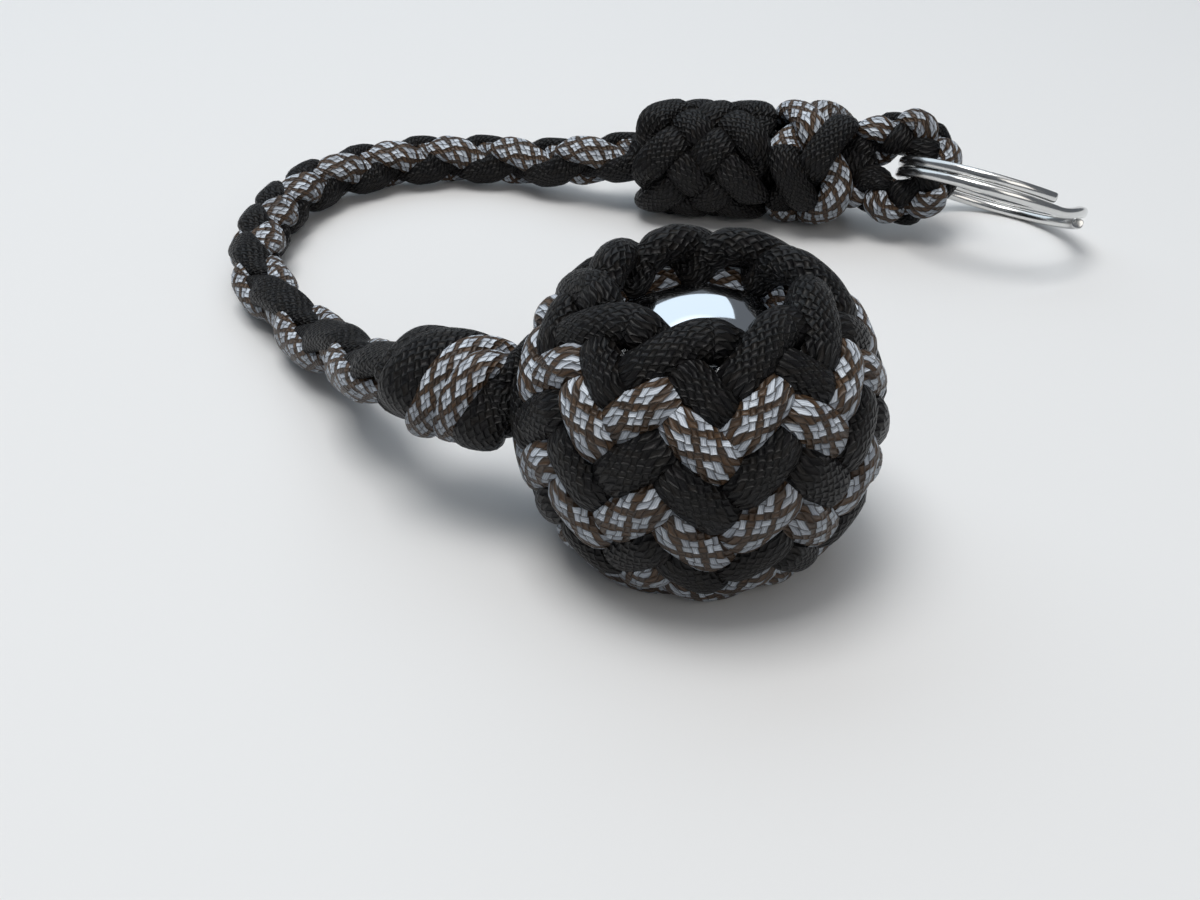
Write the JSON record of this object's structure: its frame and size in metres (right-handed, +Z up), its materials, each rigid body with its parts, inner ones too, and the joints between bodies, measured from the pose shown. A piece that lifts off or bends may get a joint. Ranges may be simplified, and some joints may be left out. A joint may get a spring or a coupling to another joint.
{
  "type": "paracord keychain",
  "caption": "Steel ball in a woven two-colour cord cover, on a braided lanyard with a woven band, a pair knot, an eye and a split ring.",
  "frame": {"origin": "on the surface the keychain lies on, under the middle of the box round its solid pieces (without the free braid)", "axes": "+Z up, +Y away from the viewer of the picture, +X to the picture's right"},
  "size_m": [0.1233, 0.1169, 0.0301],
  "materials": {
    "black": "braided nylon cord, dull, near black",
    "patterned": "braided nylon cord, pale silver blue diamonds on dark brown",
    "steel": "polished bearing steel",
    "nickel": "bright nickel-plated steel"
  },
  "bodies": {
    "keychain": {"steel_ball": "steel", "cover_black_cord": "black", "cover_patterned_cord": "patterned", "collar_black_wrap_1": "black", "collar_black_wrap_2": "black", "collar_patterned_wrap_1": "patterned", "collar_patterned_wrap_2": "patterned", "neck_black_strand_1": "black", "neck_black_strand_2": "black", "neck_patterned_strand_1": "patterned", "neck_patterned_strand_2": "patterned", "lanyard_braid": "black", "inner_core": "black", "woven_band_cord": "black", "knot_black_strand_1": "black", "knot_black_strand_2": "black", "knot_patterned_strand_1": "patterned", "knot_patterned_strand_2": "patterned", "eye_braid": "black"},
    "ring": {"split_ring": "nickel"}
  },
  "joints": [
    {"name": "ring_swing", "type": "hinge", "parent": "keychain", "child": "ring", "pos_m": [0.02035, 0.03878, 0.0102], "axis": [-0.1852, -0.8736, 0.4501], "range_deg": [-140, 160]}
  ]
}
